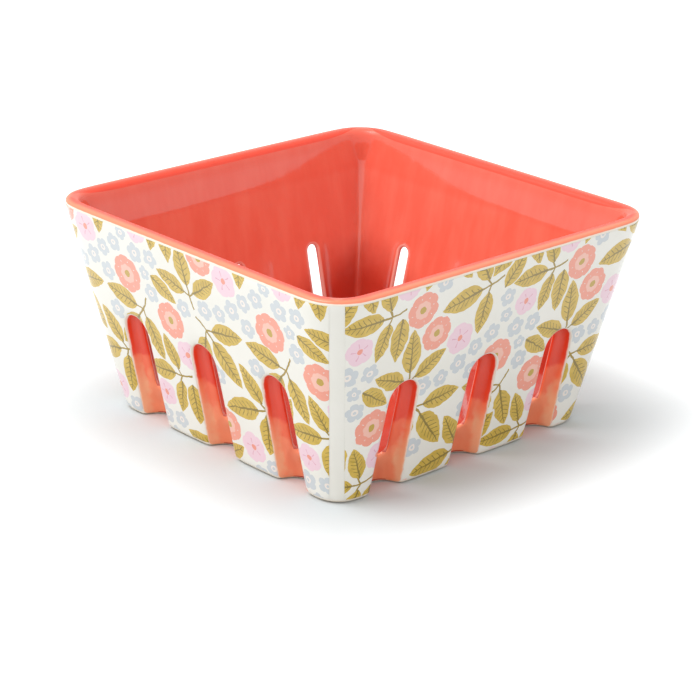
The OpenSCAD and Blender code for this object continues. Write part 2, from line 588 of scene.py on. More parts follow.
@dataclass
class FiredCage:
    """The control cage of one wall, and the whole fired skin that four of them make.

    Attributes:
        shape: The bowl's sizes.
        slots: The slots' sizes.
        shares: The upright lines of a slot, as shares of its reach to each side of its middle.
        corner_steps: The cage's steps round half a corner.
        levels: How often the cage is subdivided.
        recess_inner: How far outside the recess's edge the rings of its roof lie.
        recess_outer: How far outside that edge the rings of the foot's inner edge lie.
        foot_band: Width of the rows beside the foot's outer edge.
        rim_band: Width of the rows beside the rim's edges.
        corner_half: Half the width of a ring's flat under which its upright lines draw together.
        turns: How far round a slot's round foot its points lie.
        arch_shares: The heights of the rows at a slot's round top, as shares of its reach.
        outside_heights: The rows up the outside below the round tops.
        upper_heights: The rows up the outside above them.
        bend_heights: The rows down the inside from the rim to the slits, round the swelling's bend.
        inside_heights: The rows down the inside beside the slits.
        cove_heights: The rows down the cove below them.
        slit_foot: The height where a slit's round foot starts.
        slit_end: How far that foot reaches down.
        floor_inset: Width of the first row of the floor.
        floor_half: Half the width of the ring in the middle of the floor.
        cuts: The rows through the wall, from a slot's mouth to its slit.
        fill_out: How far the cage of a slot's surface lies outside it, which subdivision takes up.
        mouth_share: The share of a slot's reach that holds its mouth.
        face_gap: How near to the outer face a mouth's points lie.
        ease_height: The height up to which a mouth's edge is eased more.
        ease_in: How far that edge is sunk at the foot.
        ease_least: The share of that by which it is sunk everywhere.
        ease_out: How far it is widened at the foot.
        ease_power: How fast that easing fades upwards.
        merge: How near to each other the points of two walls are merged.
        cap_corners: The most corners of a face that isn't one of the two that close the skin.
        edges: The numbers of the rows that bound the zones.
    """

    shape: BowlShape
    slots: Grooves
    shares: tuple[float, ...] = (-1.0, -0.5, 0.0, 0.5, 1.0)
    corner_steps: int = 2
    levels: int = 2
    recess_inner: tuple[float, ...] = (-1.2 * MM, 0.0)
    recess_outer: tuple[float, ...] = (0.4 * MM, 1.6 * MM)
    foot_band: float = 2.8 * MM
    rim_band: float = 3.5 * MM
    corner_half: float = 41 * MM
    turns: tuple[float, ...] = (0.2 * QUARTER, 0.4 * QUARTER, 0.6 * QUARTER, 0.8 * QUARTER, QUARTER)
    arch_shares: tuple[float, ...] = (0.0, 0.38, 0.86)
    outside_heights: tuple[float, ...] = (12 * MM,)
    upper_heights: tuple[float, ...] = (46 * MM, 56 * MM)
    bend_heights: tuple[float, ...] = (59 * MM, 57.2 * MM, 55.2 * MM, 46 * MM)
    inside_heights: tuple[float, ...] = (24 * MM, 16.5 * MM, 13.1 * MM, 12.1 * MM, 11.2 * MM)
    cove_heights: tuple[float, ...] = (8.3 * MM, 7.1 * MM)
    slit_foot: float = 13.1 * MM
    slit_end: float = 3.6 * MM
    floor_inset: float = 3 * MM
    floor_half: float = 20 * MM
    cuts: int = 3
    fill_out: float = 0.07 * MM
    mouth_share: float = 0.95
    face_gap: float = 0.1 * MM
    ease_height: float = 30 * MM
    ease_in: float = 0.7 * MM
    ease_least: float = 0.3
    ease_out: float = 0.5 * MM
    ease_power: float = 1.5
    merge: float = 0.01 * MM
    cap_corners: int = 8
    edges: dict[str, int] = field(default_factory=dict)

    def columns(self) -> list[tuple[float, float]]:
        """Returns the upright lines along the flat of a wall, from left to right.

        Returns:
            Pairs of a place along the wall, which is a groove's middle or halfway between two,
            and the share of the groove's reach by which the line lies beside it.
        """
        slots = self.slots.centres
        lines = [(centre, share) for centre in slots for share in self.shares]
        return sorted(lines + [((a + b) / 2, 0.0) for a, b in zip(slots, slots[1:])])

    def rows(self) -> list[Ring]:
        """Returns the cage's rings in order, and notes the numbers of those that bound the zones."""
        shape, slots = self.shape, self.slots
        flat = shape.foot_corner / 2
        recess = shape.recess_half
        rows = [Ring(recess + out, flat, shape.recess_z) for out in self.recess_inner]
        rows += [Ring(recess + out, flat, 0) for out in self.recess_outer]
        self.edges["notch"] = len(rows)
        for inset in (self.notch_inset(QUARTER), self.notch_inset(self.turns[1]), self.foot_band):
            half = shape.foot_half - inset
            rows.append(Ring(half, min(half - self.corner_half, shape.foot_corner - inset / 2), 0))
        self.edges["foot"] = len(rows)
        rows.append(shape.outer_ring(0, 0))
        rows += [shape.outer_ring(0, z) for z in (self.foot_band, *self.outside_heights)]
        self.edges["spring"] = len(rows)
        rows += [shape.outer_ring(0, slots.spring_z + share * slots.reach) for share in self.arch_shares]
        rows += [shape.outer_ring(0, z) for z in self.upper_heights]
        top = shape.height
        rows += [shape.outer_ring(0, top - self.rim_band), shape.outer_ring(0, top)]
        self.edges["rim"] = len(rows) - 1
        rows += [shape.outer_ring(shape.wall_top * share, top) for share in (0.5, 1)]
        band = top - self.rim_band
        rows.append(shape.outer_ring(shape.wall_top + shape.swelling(band), band))
        rows += [shape.hollow_ring(z) for z in self.bend_heights]
        for share in reversed(self.arch_shares):
            rows.append(shape.hollow_ring(slots.slit_z + share * slots.slit_reach))
        self.edges["inner_spring"] = len(rows) - 1
        rows += [shape.hollow_ring(z) for z in self.inside_heights]
        self.edges["inner_notch"] = len(rows)
        end_z = self.slit_foot - self.slit_end
        rows += [shape.hollow_ring(z) for z in (end_z, *self.cove_heights)]
        floor = shape.hollow_ring(shape.floor_z)
        for half in (floor.half, floor.half - self.floor_inset, self.floor_half):
            rows.append(Ring(half, floor.corner, shape.floor_z))
        return rows

    def notch_inset(self, turn: float) -> float:
        """Returns how far in from the foot's face a groove's outline lies, under the foot.

        Args:
            turn: How far round the half circle it is, from the side to the back.
        """
        deep = self.slots.reach * math.sin(turn) / math.cos(self.shape.tilt)
        return self.shape.foot_half - self.slots.foot_half + deep

    def reach(self, j: int) -> float:
        """Returns how far the slots' side lines lie from their middles, in one row."""
        last, first = self.edges["spring"] + 2, self.edges["inner_spring"] - 2
        share = min(max((j - last) / (first - last), 0), 1)
        return self.slots.reach + (self.slots.slit_reach - self.slots.reach) * share

    def place(
        self, i: int, j: int, columns: Sequence[tuple[float, float]], rows: Sequence[Ring],
    ) -> Vector:
        """Returns where one point of the flat sheet goes on the front wall.

        Args:
            i: The column of the point, from the left corner's middle to the right one's.
            j: The row of the point, from the recess to the middle of the floor.
            columns: The upright lines along the flat.
            rows: The cage's rings.
        """
        ring = rows[j]
        steps = self.corner_steps
        flat = ring.half - ring.corner
        last = len(columns) + 2 * steps + 1
        side = -1 if i <= steps else 1
        k = min(i, last - i)
        if k <= steps:
            turn = QUARTER / 2 * (steps - k) / steps
            x = side * (flat + ring.corner * math.sin(turn))
            return Vector((x, -(ring.half - ring.corner + ring.corner * math.cos(turn)), ring.z))
        base, share = columns[i - steps - 1]
        if base in self.slots.centres:
            return self.slot_place(base, share, j, ring)
        return Vector((base * min(1, flat / self.corner_half), -ring.half, ring.z))

    def slot_place(self, centre: float, share: float, j: int, ring: Ring) -> Vector:
        """Returns where a point on one of a slot's five lines goes.

        Args:
            centre: The slot's middle along the wall.
            share: How far the line lies from it, as a share of the reach in that row.
            j: The row of the point.
            ring: The row's ring.
        """
        edges, shape = self.edges, self.shape
        side = math.copysign(1, share)
        far, aside = abs(share) == 1, share != 0
        arch = {edges["spring"] + 1: 1, edges["spring"] + 2: 2,
                edges["inner_spring"] - 1: 1, edges["inner_spring"] - 2: 2}.get(j, 0)
        if arch == 1 and far:
            return self.on_arch(centre, side, QUARTER / 4, j)
        if arch == 2:
            return self.on_arch(centre, side, QUARTER * (1 - abs(share) / 2), j)
        under = edges["notch"] + 2 - j
        within = j - edges["inner_notch"] + 2
        if under in (0, 1, 2) and (far or under == 2):
            turn = self.turns[under] if far else self.turns[3 if aside else 4]
            x = centre + side * self.slots.reach * math.cos(turn) * aside
            return Vector((x, self.notch_inset(turn) - shape.foot_half, 0))
        if within in (0, 1, 2) and (far or within == 2):
            turn = self.turns[within] if far else self.turns[3 if aside else 4]
            half = self.slots.slit_reach * math.cos(turn) * aside
            z = self.slit_foot - self.slit_end * math.sin(turn)
            return Vector((centre + side * half, -shape.hollow_ring(z).half, z))
        flat = ring.half - ring.corner
        scale = min(1, flat / self.corner_half)
        return Vector(((centre + share * self.reach(j)) * scale, -ring.half, ring.z))

    def on_arch(self, centre: float, side: float, turn: float, j: int) -> Vector:
        """Returns a point of a slot's round top, on the outer or the inner face.

        Args:
            centre: The slot's middle along the wall.
            side: -1 for its left side and 1 for its right one.
            turn: How far round the arch the point is, from the side to the top.
            j: The row of the point.
        """
        slots, shape = self.slots, self.shape
        inside = j > self.edges["rim"]
        reach = slots.slit_reach if inside else slots.reach
        middle = slots.slit_z if inside else slots.spring_z
        z = middle + reach * math.sin(turn) * math.cos(shape.lean)
        half = shape.hollow_ring(z).half if inside else shape.outer_half(z)
        across = 0.0 if turn == QUARTER else side * reach * math.cos(turn)
        return Vector((centre + across, -half, z))

    def build(self) -> bpy.types.Object:
        """Makes the whole fired skin, closed, with its zones as material numbers."""
        columns, rows = self.columns(), self.rows()
        across = len(columns) + 2 * self.corner_steps + 1
        down = len(rows) - 1
        deselect_all()
        bpy.ops.mesh.primitive_grid_add(x_subdivisions=across, y_subdivisions=down, size=1)
        sheet = bpy.context.active_object
        sheet.name = sheet.data.name = "fired_skin"
        for zone in Zone:
            sheet.data.materials.append(bpy.data.materials.new(zone.name.lower()))
        steps = self.corner_steps + 1
        for face in sheet.data.polygons:
            centre = face.center
            i = math.floor((centre.x + 0.5) * across)
            j = math.floor((centre.y + 0.5) * down)
            face.material_index = self.zone(i - steps, j)
        for vertex in sheet.data.vertices:
            i = round((vertex.co.x + 0.5) * across)
            j = round((vertex.co.y + 0.5) * down)
            vertex.co = self.place(i, j, columns, rows)
        self.open_slots(sheet)
        self.join_walls(sheet)
        apply_modifier(sheet, "SUBSURF", levels=self.levels, render_levels=self.levels)
        self.trim_zones(sheet)
        LOG.info("fired skin: %d faces", len(sheet.data.polygons))
        return sheet

    def zone(self, line: int, j: int) -> Zone:
        """Returns the zone of a face of the flat sheet.

        Args:
            line: The number of the upright line on its left, or less than 0 in the corner.
            j: The number of the row below it.
        """
        edges = self.edges
        lines = len(self.shares)
        in_slot = 0 <= line < len(self.columns()) - 1 and line % (lines + 1) < lines - 1
        outer = edges["notch"] <= j < edges["spring"] + 2
        inner = edges["inner_spring"] - 2 <= j < edges["inner_notch"]
        if in_slot and (outer or inner):
            return Zone.HOLE
        if j == 0:
            return Zone.RECESS
        if j < edges["foot"]:
            return Zone.CLAY
        return Zone.OUTSIDE if j < edges["rim"] else Zone.CORAL

    def open_slots(self, sheet: bpy.types.Object) -> None:
        """Insets the slots' faces, deletes what is inside, bridges each pair of loops and rounds that."""
        slots = self.slots
        with edit_mode(sheet):
            bpy.ops.mesh.select_all(action="SELECT")
            bpy.ops.mesh.normals_make_consistent(inside=False)
            for outside, width in ((True, slots.lip), (False, slots.slit_lip)):
                pick(sheet, "faces", lambda face: face.material_index == Zone.HOLE
                     and self.is_outer(face.calc_center_median()) == outside)
                bpy.ops.mesh.inset(thickness=width, use_even_offset=True, use_boundary=True)
                bpy.ops.mesh.delete(type="FACE")
            self.ease_mouths(sheet)
            for face in bmesh.from_edit_mesh(sheet.data).faces:
                if face.material_index == Zone.HOLE:
                    face.material_index = self.lip_zone(face)
            bpy.ops.mesh.select_mode(type="EDGE")
            for centre in slots.centres:
                count = pick(sheet, "edges", lambda edge: self.bounds_slot(edge, centre))
                LOG.info("slot at %.0f mm: %d edges", centre / MM, count)
                bpy.ops.mesh.bridge_edge_loops(number_cuts=self.cuts, interpolation="LINEAR")
                mesh = bmesh.from_edit_mesh(sheet.data)
                for face in mesh.faces:
                    if face.select:
                        face.material_index = Zone.CORAL
                for vertex in mesh.verts:
                    if not vertex.select or not self.in_bridge(vertex):
                        continue
                    edge = self.slit_edge(vertex)
                    if edge:
                        vertex.co = slots.on_ledge(vertex.co, edge.co)
                    else:
                        vertex.co = slots.on_bar(vertex.co, centre, slots.radius + self.fill_out)
                bpy.ops.mesh.select_all(action="DESELECT")
        LOG.info("one wall: %d faces", len(sheet.data.polygons))

    def in_bridge(self, vertex: bmesh.types.BMVert) -> bool:
        """Says whether a point lies between the two loops of the selected bridge."""
        return all(face.select for face in vertex.link_faces)

    def slit_edge(self, vertex: bmesh.types.BMVert) -> Optional[bmesh.types.BMVert]:
        """Returns the neighbour of a point of the bridge that is on the slit's edge, if any."""
        for edge in vertex.link_edges:
            other = edge.other_vert(vertex)
            if not self.in_bridge(other) and not self.is_outer(other.co):
                return other
        return None

    def lip_zone(self, face: bmesh.types.BMFace) -> Zone:
        """Returns the zone of a face of the narrow band round a slot's mouth."""
        centre = face.calc_center_median()
        if centre.z < self.shape.wiped_z:
            return Zone.CLAY
        return Zone.OUTSIDE if self.is_outer(centre) else Zone.CORAL

    def is_outer(self, point: Vector) -> bool:
        """Says whether a place on the front wall is outside or under the foot, not in the hollow."""
        middle = self.shape.outer_half(point.z) - self.shape.wall(point.z) / 2
        return point.z < self.shape.wiped_z or -point.y > middle

    def ease_mouths(self, sheet: bpy.types.Object) -> None:
        """Sinks the edges of the grooves' mouths, most near the foot, so that they turn round."""
        slots = self.slots
        for vertex in bmesh.from_edit_mesh(sheet.data).verts:
            point = vertex.co
            across = slots.offset(point.x)
            if not vertex.is_boundary or abs(across) > slots.reach * self.mouth_share:
                continue
            if -point.y < self.shape.outer_half(point.z) - self.face_gap:
                continue
            ease = (1 - min(point.z / self.ease_height, 1)) ** self.ease_power
            vertex.co.x += math.copysign(self.ease_out * ease, across)
            vertex.co.y += self.ease_in * (self.ease_least + (1 - self.ease_least) * ease)

    def bounds_slot(self, edge: bmesh.types.BMEdge, centre: float) -> bool:
        """Says whether an edge is on one of the two open loops of a slot."""
        middle = (edge.verts[0].co + edge.verts[1].co) / 2
        near = abs(middle.x - centre) < self.slots.reach
        return edge.is_boundary and near and -middle.y > self.corner_half

    def join_walls(self, sheet: bpy.types.Object) -> None:
        """Adds the other three walls, merges the seams and closes the floor and the recess."""
        with edit_mode(sheet, "VERT"):
            bpy.ops.mesh.select_all(action="SELECT")
            for _ in range(WALLS - 1):
                bpy.ops.mesh.duplicate()
                bpy.ops.transform.rotate(value=QUARTER, orient_axis="Z", center_override=(0, 0, 0))
            bpy.ops.mesh.select_all(action="SELECT")
            bpy.ops.mesh.remove_doubles(threshold=self.merge)
            bpy.ops.mesh.select_mode(type="EDGE")
            limit = self.shape.floor_z / 2
            for above in (True, False):
                pick(sheet, "edges", lambda edge: edge.is_boundary
                     and (edge.verts[0].co.z > limit) == above)
                bpy.ops.mesh.edge_face_add()
                for face in bmesh.from_edit_mesh(sheet.data).faces:
                    if len(face.verts) > self.cap_corners:
                        low = face.calc_center_median().z < limit
                        face.material_index = Zone.RECESS if low else Zone.CORAL
            bpy.ops.mesh.select_all(action="SELECT")
            bpy.ops.mesh.normals_make_consistent(inside=False)

    def trim_zones(self, skin: bpy.types.Object) -> None:
        """Cuts the skin along the colour line and the wiped line, and corrects the zones there."""
        shape = self.shape
        for line, band in ((shape.colour_z, self.rim_band), (shape.wiped_z, self.foot_band)):
            with edit_mode(skin):
                pick(skin, "faces", lambda face: self.straddles(face, line, band))
                bpy.ops.mesh.bisect(plane_co=(0, 0, line), plane_no=(0, 0, 1))
        for face in skin.data.polygons:
            if face.material_index == Zone.RECESS:
                continue
            if face.center.z < shape.wiped_z:
                face.material_index = Zone.CLAY
            elif face.center.z > shape.colour_z:
                face.material_index = Zone.CORAL
            elif face.material_index == Zone.CLAY and face.center.z > shape.wiped_z:
                face.material_index = Zone.OUTSIDE

    def straddles(self, face: bmesh.types.BMFace, line: float, band: float) -> bool:
        """Says whether an outside or tunnel face near a height may cross it."""
        centre = face.calc_center_median()
        if face.material_index == Zone.RECESS or abs(centre.z - line) > band:
            return False
        return max(abs(centre.x), abs(centre.y)) > self.shape.recess_half + self.foot_band / 2


def joining(operation: str, reflected: bool = False) -> Callable[["Wire", Operand], "Wire"]:
    """Makes the method of one operator, which adds the node of its operation.

    Args:
        operation: The node's operation.
        reflected: Whether the other value comes first, as in 1 - mask.
    """

    def method(wire: "Wire", other: Operand) -> "Wire":
        """Adds the node."""
        return wire.step(operation, other, wire) if reflected else wire.step(operation, wire, other)

    return method


@dataclass(frozen=True)
class Wire:
    """An output socket that takes part in Python expressions.

    A step on numbers adds a Math node. Once a vector takes part, the step adds a Vector Math node.
    Less and greater make masks, | joins two masks or takes the greater value, and & what both share.
    """

    web: "NodeWeb"
    socket: bpy.types.NodeSocket

    @property
    def is_vector(self) -> bool:
        """Whether the socket carries a vector or a colour."""
        return self.socket.type in ("VECTOR", "RGBA")

    def step(self, operation: str, *operands: Operand) -> "Wire":
        """Adds the Math or Vector Math node of one operation.

        Args:
            operation: The node's operation.
            *operands: The values or wires of its sockets, in order.
        """
        kind = "ShaderNodeVectorMath" if any(is_vector(part) for part in operands) else "ShaderNodeMath"
        return self.web.add(kind, {"operation": operation}, dict(enumerate(operands)))

    __add__ = __radd__ = joining("ADD")
    __sub__ = joining("SUBTRACT")
    __rsub__ = joining("SUBTRACT", reflected=True)
    __mul__ = __rmul__ = joining("MULTIPLY")
    __truediv__ = joining("DIVIDE")
    __pow__ = joining("POWER")
    __lt__ = joining("LESS_THAN")
    __gt__ = joining("GREATER_THAN")
    __or__ = joining("MAXIMUM")
    __and__ = joining("MINIMUM")

    def __abs__(self) -> "Wire":
        """Drops the sign."""
        return self.step("ABSOLUTE", self)

    def near(self, target: float, within: float) -> "Wire":
        """Makes the mask of where a number is near a target."""
        return self.step("COMPARE", self, target, within)

    def petals(self, number: int) -> "Wire":
        """Makes that many waves of an angle, from 0 between two petals to 1 in a petal's middle."""
        wave = self * (number / 2)
        return abs(wave.step("COSINE", wave))

    def length(self) -> "Wire":
        """Measures a vector."""
        return self.web.add("ShaderNodeVectorMath", {"operation": "LENGTH"}, {0: self}, "Value")

    def dot(self, other: Sequence[float]) -> "Wire":
        """Measures a vector along a direction."""
        settings = {"operation": "DOT_PRODUCT"}
        return self.web.add("ShaderNodeVectorMath", settings, {0: self, 1: other}, "Value")

    def parts(self) -> tuple["Wire", "Wire", "Wire"]:
        """Parts a vector into its three numbers."""
        first = self.web.add("ShaderNodeSeparateXYZ", {}, {0: self})
        return tuple(Wire(self.web, socket) for socket in first.socket.node.outputs)

    def rise(self, low: float, high: float) -> "Wire":
        """Makes a soft step from 0 at one value to 1 at another."""
        settings = {"interpolation_type": "SMOOTHSTEP"}
        return self.web.add("ShaderNodeMapRange", settings, {0: self, 1: low, 2: high})


def is_vector(part: Operand) -> bool:
    """Says whether a wire or a plain value is a vector."""
    return part.is_vector if isinstance(part, Wire) else not isinstance(part, (int, float))


class NodeWeb:
    """The node tree of one material or world."""

    def __init__(self, owner: bpy.types.ID) -> None:
        """Starts from the nodes that Blender gives the owner."""
        owner.use_nodes = True
        self.tree = owner.node_tree

    def add(
        self,
        kind: str,
        settings: Mapping[str, object],
        sockets: Mapping[Union[int, str], Operand],
        output: Union[int, str] = 0,
    ) -> Wire:
        """Adds one node.

        Args:
            kind: The node's type.
            settings: Its properties by name, which are set first.
            sockets: The values or wires of its input sockets, by number or name.
            output: The output socket that is returned.
        """
        node = self.tree.nodes.new(kind)
        for key, value in settings.items():
            setattr(node, key, value)
        for key, value in sockets.items():
            self.feed(node.inputs[key], value)
        return Wire(self, node.outputs[output])

    def feed(self, socket: bpy.types.NodeSocket, value: Operand) -> None:
        """Links a wire to a socket, or sets the socket's own value."""
        if isinstance(value, Wire):
            self.tree.links.new(value.socket, socket)
        elif socket.type in ("VECTOR", "RGBA"):
            numbers = [value] * 3 if isinstance(value, (int, float)) else list(value)
            socket.default_value = numbers if socket.type == "VECTOR" else [*numbers[:3], 1]
        else:
            socket.default_value = value

    def mix(self, mask: Wire, low: Operand, high: Operand) -> Wire:
        """Mixes two numbers or two vectors by a mask."""
        if is_vector(low) or is_vector(high):
            return self.add("ShaderNodeMix", {"data_type": "VECTOR"}, {0: mask, 4: low, 5: high}, 1)
        return self.add("ShaderNodeMix", {"data_type": "FLOAT"}, {0: mask, 2: low, 3: high})

    def tint(self, mask: Wire, low: Union[Wire, str], high: Union[Wire, str]) -> Wire:
        """Mixes two colours, each a wire or a hex code, by a mask."""
        ends = [srgb(end) if isinstance(end, str) else end for end in (low, high)]
        return self.add("ShaderNodeMix", {"data_type": "RGBA"}, {0: mask, 6: ends[0], 7: ends[1]}, 2)

    def place(self) -> Wire:
        """Reads where a point is on the bowl, in millimetres."""
        return self.add("ShaderNodeTexCoord", {}, {}, "Object") * (1 / MM)

    def pair(self, x: Wire, y: Wire) -> Wire:
        """Joins two numbers into a vector."""
        return self.add("ShaderNodeCombineXYZ", {}, {0: x, 1: y})

    def noise(self, place: Operand, scale: float, detail: float = 2.0, output: str = "Fac") -> Wire:
        """Adds a cloudy pattern.

        Args:
            place: The coordinates, in millimetres.
            scale: How many clouds there are to a millimetre.
            detail: How many finer layers they have.
            output: Fac for a number, Color for a vector.
        """
        sockets = {"Vector": place, "Scale": scale, "Detail": detail}
        return self.add("ShaderNodeTexNoise", {}, sockets, output)

    def bump(self, height: Wire, depth: float) -> Wire:
        """Turns a height into a normal.

        Args:
            height: The pattern, from 0 to 1.
            depth: How deep it is, in millimetres.
        """
        return self.add("ShaderNodeBump", {}, {"Strength": 1.0, "Distance": depth * MM, "Height": height})


def beside_slot(place: Wire, slots: Grooves) -> Wire:
    """Works out how far a place on any wall lies from the middle of the nearest slot."""
    x, y, _ = place.parts()
    pitch = slots.pitch / 2 / MM
    return abs(x.step("WRAP", abs(x) & abs(y), pitch, -pitch))


@dataclass(frozen=True)
class Finish:
    """What every finish has.

    Attributes:
        name: The material's name.
        roughness: Its roughness.
        coat: How much of a clear coat it has.
        coat_roughness: The roughness of that coat.
    """

    name: str
    roughness: float = 0.1
    coat: float = 0.0
    coat_roughness: float = 0.03

    def material(self) -> bpy.types.Material:
        """Makes the material."""
        material = bpy.data.materials.new(self.name)
        web = NodeWeb(material)
        shader = web.tree.nodes["Principled BSDF"]
        shader.inputs["Coat Roughness"].default_value = self.coat_roughness
        place = web.place()
        web.feed(shader.inputs["Base Color"], self.colour(web, place))
        web.feed(shader.inputs["Normal"], self.surface(web, place))
        web.feed(shader.inputs["Coat Weight"], self.gloss(place))
        web.feed(shader.inputs["Roughness"], self.rough(place))
        return material

    def rough(self, place: Wire) -> Union[Wire, float]:
        """Works out the roughness at a place."""
        return self.roughness

    def gloss(self, place: Wire) -> Union[Wire, float]:
        """Works out how much of a clear coat a place has."""
        return self.coat

    def colour(self, web: NodeWeb, place: Wire) -> Wire:
        """Works out the colour at a place, which each finish does in its own way."""
        raise NotImplementedError

    def surface(self, web: NodeWeb, place: Wire) -> Wire:
        """Works out the normal at a place: the faint ripple of a fired glaze."""
        return web.bump(web.noise(place, 0.11, 1.0), 0.05)


@dataclass(frozen=True)
class IvoryGloss(Finish):
    """The ivory glaze: milky white, a little warmer where it thins over an edge.

    Attributes:
        foot_thin: The heights between which it thickens above the foot, in millimetres.
        rim_thin: The heights between which it thins towards the rim.
    """

    name: str = "ivory_gloss"
    roughness: float = 0.12
    coat: float = 0.3
    foot_thin: tuple[float, float] = (0.6, 2.0)
    rim_thin: tuple[float, float] = (67.3, 67.9)

    def colour(self, web: NodeWeb, place: Wire) -> Wire:
        """Works out the colour: ivory with slight clouds, and a warm rim and foot."""
        cloud = web.noise(place, 0.06, 3.0).rise(0.35, 0.7)
        ivory = web.tint(cloud, "F3F2EA", "F0EFE6")
        z = place.parts()[2]
        thin = (1.0 - z.rise(*self.foot_thin)) | z.rise(*self.rim_thin)
        return web.tint(thin * 0.5, ivory, "F6E4CC")


@dataclass(frozen=True)
class CoralGloss(Finish):
    """The coral glaze, which breaks to salmon and cream on edges, with painted shade that turns it deep red
    low in the hollow and in its corners.

    Its sizes are in millimetres. A pair is where a soft step starts and ends, and a depth lies below
    the outer face.

    Attributes:
        slots: The slots' sizes.
        bar_depth: Depth of the middle of the bar that would fill a slot.
        bar_share: What the wall's slope leaves of the square of a depth.
        bar_square: The square of how far from that middle the hollow's own glaze starts.
        wall_depth: Depth from which a place can be in the hollow.
        slit_foot: Height above which all that deep is in the hollow.
        slit_depths: The depths between which the slits' edges lie.
        slit_top: Height of the middle of the slits' round tops.
        slit_edge: How far from a slit's middle its pale edge fades.
        slit_glint_low: The heights over which that edge fades downwards.
        ledge_depth: Depth down to which the ledges round the slits reach.
        ledge_edge: How far beside a slit its ledge fades.
        ledge_top: The heights over which it fades upwards.
        lip_line: The depths over which the cream line round a slot's mouth fades.
        lip_top: Height below which that line lies.
        low_line: The heights over which the slots turn from red to salmon.
        lower_line: The heights over which they turn paler.
        flank: How far beside a slot's middle its sides turn cream.
        flank_top: The heights over which they do.
        corner: How far from the middle of both walls the painted shade in the corners deepens.
        low_shade: The heights over which the painted shade above the floor thins.
        hollow: The heights above which the hollow's clear coat is whole, whatever the depth.
        bend: The heights over which the wall bends, where it turns redder and duller.
        upper: The heights over which it turns duller still.
        rim_rough: The heights over which the rim turns rougher.
        rim_fade: The heights over which the rim turns paler.
        rim_skin: How far in from the rim's outline that fades.
        line_skin: How far in from that outline the cream line under the rim can lie.
        line_low: The least height of that line.
        line_top: The heights over which it fades into the coral.
    """

    name: str = "coral_gloss"
    roughness: float = 0.1
    slots: Grooves = Grooves(BowlShape())
    bar_depth: float = 0.6
    bar_share: float = 0.95
    bar_square: float = 34.4
    wall_depth: float = 4.8
    slit_foot: float = 11.0
    slit_depths: tuple[float, float] = (4.9, 6.4)
    slit_top: float = 32.7
    slit_edge: tuple[float, float] = (2.7, 3.3)
    slit_glint_low: tuple[float, float] = (10.5, 12.5)
    ledge_depth: float = 7.5
    ledge_edge: tuple[float, float] = (5.0, 6.6)
    ledge_top: tuple[float, float] = (37.0, 40.0)
    lip_line: tuple[float, float] = (0.6, 1.1)
    lip_top: float = 39.0
    low_line: tuple[float, float] = (20.5, 22.5)
    lower_line: tuple[float, float] = (12.0, 15.5)
    flank: tuple[float, float] = (4.0, 5.7)
    flank_top: tuple[float, float] = (12.0, 25.0)
    corner: tuple[float, float] = (14.0, 44.0)
    low_shade: tuple[float, float] = (6.0, 26.0)
    hollow: tuple[float, float] = (38.0, 42.0)
    bend: tuple[float, float] = (55.0, 58.0)
    upper: tuple[float, float] = (63.0, 66.0)
    rim_rough: tuple[float, float] = (66.5, 68.0)
    rim_fade: tuple[float, float] = (66.0, 68.6)
    rim_skin: tuple[float, float] = (1.0, 3.0)
    line_skin: float = 4.1
    line_low: float = 60.0
    line_top: tuple[float, float] = (68.0, 68.3)

    def half(self, z: Wire) -> Wire:
        """Works out half the bowl's outer width at a height."""
        return z * math.tan(self.slots.bowl.lean) + self.slots.bowl.foot_half / MM

    def depth(self, place: Wire) -> tuple[Wire, Wire]:
        """Works out how far below the outer face a place lies, and its height."""
        x, y, z = place.parts()
        return self.half(z) - (abs(x) | abs(y)), z

    def rim_depth(self, place: Wire) -> Wire:
        """Works out how far inside the rim's rounded outline a place near the rim lies."""
        x, y, z = place.parts()
        centre = (self.slots.bowl.rim_half - self.slots.bowl.rim_corner) / MM
        across, along = ((abs(part) - centre) | 0.0 for part in (x, y))
        return self.half(z) - centre - (across ** 2.0 + along ** 2.0) ** 0.5

    def rough(self, place: Wire) -> Wire:
        """Works out the roughness, which is higher over the rim."""
        return place.parts()[2].rise(*self.rim_rough) * 0.25 + self.roughness

    def inside(self, place: Wire) -> Wire:
        """Makes the mask of the hollow, beside the slots' own surfaces."""
        depth, z = self.depth(place)
        from_bar = (depth - self.bar_depth) ** 2.0 * self.bar_share + beside_slot(place, self.slots) ** 2.0
        return (depth > self.wall_depth) * ((z > self.slit_foot) | (from_bar > self.bar_square))

    def gloss(self, place: Wire) -> Wire:
        """Works out the clear coat, which is thick in the hollow and thin in the slots."""
        depth, z = self.depth(place)
        beside = beside_slot(place, self.slots)
        inside = self.inside(place) | z.rise(*self.hollow)
        ledge = (1.0 - beside.rise(*self.ledge_edge)) * (1.0 - z.rise(*self.ledge_top))
        upper = z.rise(*self.bend) * 0.35 + z.rise(*self.upper) * 0.65
        return inside * (1.0 - upper) * (1.0 - ledge * (depth < self.ledge_depth) * 0.65) * 0.78 + 0.05

    def hollow_colour(self, web: NodeWeb, place: Wire, rag: Wire, streaks: Wire) -> Wire:
        """Works out the coral of the hollow, with painted shade that turns it deep red above the floor and
        in the corners.

        Args:
            web: The material's nodes.
            place: The place on the bowl.
            rag: What makes a border between two tones ragged.
            streaks: The streaks that run down the wall.
        """
        x, y, z = place.parts()
        coral = web.tint(streaks.rise(0.3, 0.75), "EE6C56", "F27A64")
        # Painted shade: the coral turns deep red low in the hollow and towards its corners, where less
        # light reaches.
        corner = (abs(x) & abs(y)).rise(*self.corner)
        low_shade = 1.0 - (z + rag * 10.0 - corner * 12.0).rise(*self.low_shade)
        coral = web.tint(low_shade * 0.9, coral, "B8301F")
        return web.tint(z.rise(*self.bend) * 0.4, coral, "E65640")

